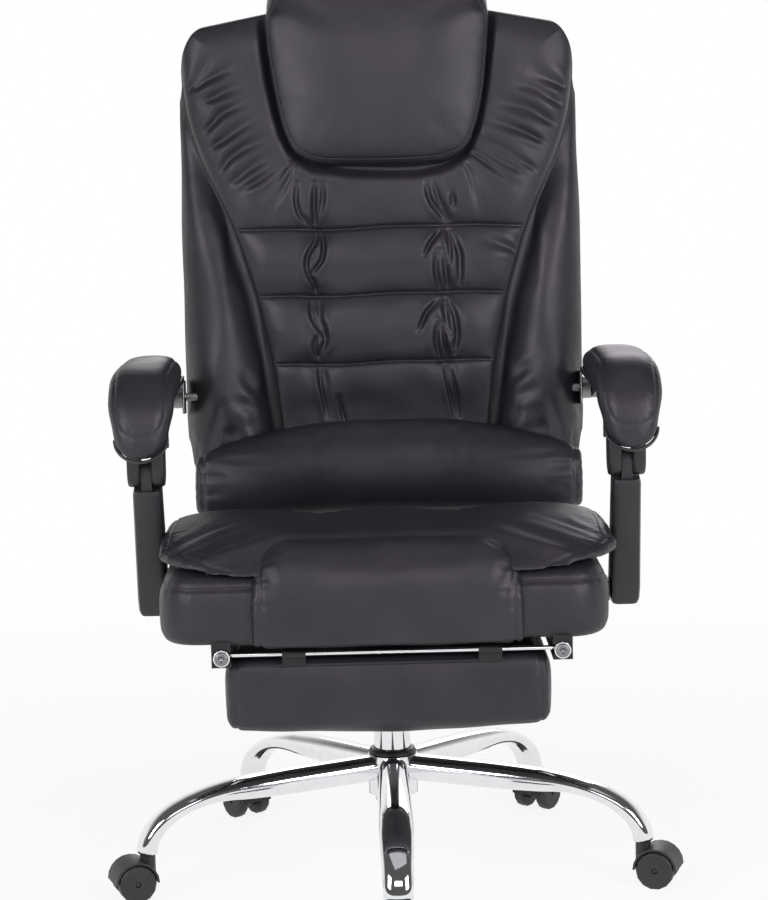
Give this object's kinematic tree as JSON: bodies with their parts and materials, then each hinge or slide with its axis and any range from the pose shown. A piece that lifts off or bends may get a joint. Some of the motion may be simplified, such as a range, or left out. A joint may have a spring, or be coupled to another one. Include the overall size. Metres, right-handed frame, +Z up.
{
  "type": "reclining office chair with footrest",
  "caption": "High-backed reclining office chair on a star base with casters, with linked armrests, a pull-out flip-over footrest, headrest and lumbar roll.",
  "frame": {"origin": "on the floor, under the axis of the gas column, with the seat at its lowest", "axes": "+Z up; the sitter faces -Y; +X is the sitter's left"},
  "size_m": [0.7762, 0.7908, 1.2307],
  "materials": {
    "black_leather": "satin",
    "chromed_steel": "polished",
    "zinc_steel": "satin",
    "black_steel": "satin",
    "black_plastic": "matte",
    "black_nylon": "satin",
    "plywood": "matte"
  },
  "bodies": {
    "base": {"base_hub": "chromed_steel", "base_leg_1": "chromed_steel", "base_leg_2": "chromed_steel", "base_leg_3": "chromed_steel", "base_leg_4": "chromed_steel", "base_leg_5": "chromed_steel", "column_collar": "black_plastic", "gas_cylinder": "chromed_steel", "cylinder_clip": "black_steel"},
    "lift_rod": {"gas_rod": "zinc_steel"},
    "seat": {"lift_mechanism": "black_steel", "seat_board": "plywood", "seat_base_cushion": "black_leather", "seat_top_pad": "black_leather", "seat_front_roll": "black_leather", "slide_guide_left": "black_steel", "slide_guide_right": "black_steel", "hinge_seat_plate_left": "black_steel", "hinge_seat_plate_right": "black_steel", "arm_bracket_left": "black_steel", "arm_bracket_right": "black_steel"},
    "height_lever": {"height_lever": "black_plastic"},
    "recline_lever": {"recline_lever": "black_plastic"},
    "footrest_frame": {"slide_tube_left": "chromed_steel", "slide_tube_right": "chromed_steel", "slide_cross_bar": "chromed_steel", "footrest_rod": "chromed_steel"},
    "footrest_flap": {"footrest_hinge": "black_steel", "footrest_pad": "black_leather"},
    "back": {"hinge_back_plate_left": "black_steel", "hinge_back_plate_right": "black_steel", "back_arm_stud_left": "zinc_steel", "back_arm_stud_right": "zinc_steel", "back_board": "plywood", "back_cushion": "black_leather", "back_rear_shell": "black_leather", "back_overlay": "black_leather", "lumbar_roll": "black_leather", "headrest": "black_leather"},
    "post_left": {"arm_post_left": "black_plastic"},
    "arm_left": {"arm_frame_left": "black_plastic", "arm_pad_left": "black_leather"},
    "post_right": {"arm_post_right": "black_plastic"},
    "arm_right": {"arm_frame_right": "black_plastic", "arm_pad_right": "black_leather"},
    "caster_1": {"caster_1_hood": "black_nylon"},
    "caster_1_wheel_left": {"caster_1_wheel_left": "black_nylon"},
    "caster_1_wheel_right": {"caster_1_wheel_right": "black_nylon"},
    "caster_2": {"caster_2_hood": "black_nylon"},
    "caster_2_wheel_left": {"caster_2_wheel_left": "black_nylon"},
    "caster_2_wheel_right": {"caster_2_wheel_right": "black_nylon"},
    "caster_3": {"caster_3_hood": "black_nylon"},
    "caster_3_wheel_left": {"caster_3_wheel_left": "black_nylon"},
    "caster_3_wheel_right": {"caster_3_wheel_right": "black_nylon"},
    "caster_4": {"caster_4_hood": "black_nylon"},
    "caster_4_wheel_left": {"caster_4_wheel_left": "black_nylon"},
    "caster_4_wheel_right": {"caster_4_wheel_right": "black_nylon"},
    "caster_5": {"caster_5_hood": "black_nylon"},
    "caster_5_wheel_left": {"caster_5_wheel_left": "black_nylon"},
    "caster_5_wheel_right": {"caster_5_wheel_right": "black_nylon"}
  },
  "joints": [
    {"name": "gas_lift", "type": "slide", "parent": "base", "child": "lift_rod", "axis": [0, 0, 1], "range_m": [0, 0.09]},
    {"name": "seat_swivel", "type": "hinge", "parent": "lift_rod", "child": "seat", "pos_m": [0, 0, 0.3], "axis": [0, 0, 1], "continuous": true},
    {"name": "back_recline", "type": "hinge", "parent": "seat", "child": "back", "pos_m": [0, 0.29, 0.455], "axis": [-1, 0, 0], "range_deg": [0, 40]},
    {"name": "height_lever_pull", "type": "hinge", "parent": "seat", "child": "height_lever", "pos_m": [-0.06, 0.02, 0.3662], "axis": [0, 1, 0], "range_deg": [0, 7], "stiffness_Nm_per_rad": 0.4, "springref_deg": -8.59},
    {"name": "recline_lever_pull", "type": "hinge", "parent": "seat", "child": "recline_lever", "pos_m": [-0.255, 0.29, 0.455], "axis": [1, 0, 0], "range_deg": [0, 15], "stiffness_Nm_per_rad": 0.4, "springref_deg": -8.59},
    {"name": "footrest_slide", "type": "slide", "parent": "seat", "child": "footrest_frame", "axis": [0, -1, 0], "range_m": [0, 0.29]},
    {"name": "footrest_flip", "type": "hinge", "parent": "footrest_frame", "child": "footrest_flap", "pos_m": [0, -0.265, 0.36], "axis": [-1, 0, 0], "range_deg": [0, 180.01]},
    {"name": "post_left_pivot", "type": "hinge", "parent": "seat", "child": "post_left", "pos_m": [0.315, -0.07, 0.398], "axis": [-1, 0, 0], "range_deg": [0, 40]},
    {"name": "arm_left_pivot", "type": "hinge", "parent": "post_left", "child": "arm_left", "pos_m": [0.315, -0.12, 0.578], "axis": [-1, 0, 0], "range_deg": [-40, 0]},
    {"name": "post_right_pivot", "type": "hinge", "parent": "seat", "child": "post_right", "pos_m": [-0.315, -0.07, 0.398], "axis": [-1, 0, 0], "range_deg": [0, 40]},
    {"name": "arm_right_pivot", "type": "hinge", "parent": "post_right", "child": "arm_right", "pos_m": [-0.315, -0.12, 0.578], "axis": [-1, 0, 0], "range_deg": [-40, 0]},
    {"name": "caster_1_swivel", "type": "hinge", "parent": "base", "child": "caster_1", "pos_m": [0, -0.35, 0.07], "axis": [0, 0, 1], "continuous": true},
    {"name": "caster_1_roll_left", "type": "hinge", "parent": "caster_1", "child": "caster_1_wheel_left", "pos_m": [0, -0.37, 0.025], "axis": [1, 0, 0], "continuous": true},
    {"name": "caster_1_roll_right", "type": "hinge", "parent": "caster_1", "child": "caster_1_wheel_right", "pos_m": [0, -0.37, 0.025], "axis": [1, 0, 0], "continuous": true},
    {"name": "caster_2_swivel", "type": "hinge", "parent": "base", "child": "caster_2", "pos_m": [0.33287, -0.10816, 0.07], "axis": [0, 0, 1], "continuous": true},
    {"name": "caster_2_roll_left", "type": "hinge", "parent": "caster_2", "child": "caster_2_wheel_left", "pos_m": [0.35189, -0.11434, 0.025], "axis": [0.309, 0.9511, 0], "continuous": true},
    {"name": "caster_2_roll_right", "type": "hinge", "parent": "caster_2", "child": "caster_2_wheel_right", "pos_m": [0.35189, -0.11434, 0.025], "axis": [0.309, 0.9511, 0], "continuous": true},
    {"name": "caster_3_swivel", "type": "hinge", "parent": "base", "child": "caster_3", "pos_m": [0.20572, 0.28316, 0.07], "axis": [0, 0, 1], "continuous": true},
    {"name": "caster_3_roll_left", "type": "hinge", "parent": "caster_3", "child": "caster_3_wheel_left", "pos_m": [0.21748, 0.29934, 0.025], "axis": [-0.809, 0.5878, 0], "continuous": true},
    {"name": "caster_3_roll_right", "type": "hinge", "parent": "caster_3", "child": "caster_3_wheel_right", "pos_m": [0.21748, 0.29934, 0.025], "axis": [-0.809, 0.5878, 0], "continuous": true},
    {"name": "caster_4_swivel", "type": "hinge", "parent": "base", "child": "caster_4", "pos_m": [-0.20572, 0.28316, 0.07], "axis": [0, 0, 1], "continuous": true},
    {"name": "caster_4_roll_left", "type": "hinge", "parent": "caster_4", "child": "caster_4_wheel_left", "pos_m": [-0.21748, 0.29934, 0.025], "axis": [-0.809, -0.5878, 0], "continuous": true},
    {"name": "caster_4_roll_right", "type": "hinge", "parent": "caster_4", "child": "caster_4_wheel_right", "pos_m": [-0.21748, 0.29934, 0.025], "axis": [-0.809, -0.5878, 0], "continuous": true},
    {"name": "caster_5_swivel", "type": "hinge", "parent": "base", "child": "caster_5", "pos_m": [-0.33287, -0.10816, 0.07], "axis": [0, 0, 1], "continuous": true},
    {"name": "caster_5_roll_left", "type": "hinge", "parent": "caster_5", "child": "caster_5_wheel_left", "pos_m": [-0.35189, -0.11434, 0.025], "axis": [0.309, -0.9511, 0], "continuous": true},
    {"name": "caster_5_roll_right", "type": "hinge", "parent": "caster_5", "child": "caster_5_wheel_right", "pos_m": [-0.35189, -0.11434, 0.025], "axis": [0.309, -0.9511, 0], "continuous": true}
  ],
  "couplings": [
    {"joint": "footrest_flip", "follows": "footrest_slide", "rad_per_m": 10.833},
    {"joint": "post_left_pivot", "follows": "back_recline", "ratio": 1},
    {"joint": "arm_left_pivot", "follows": "back_recline", "ratio": -1},
    {"joint": "post_right_pivot", "follows": "back_recline", "ratio": 1},
    {"joint": "arm_right_pivot", "follows": "back_recline", "ratio": -1}
  ]
}
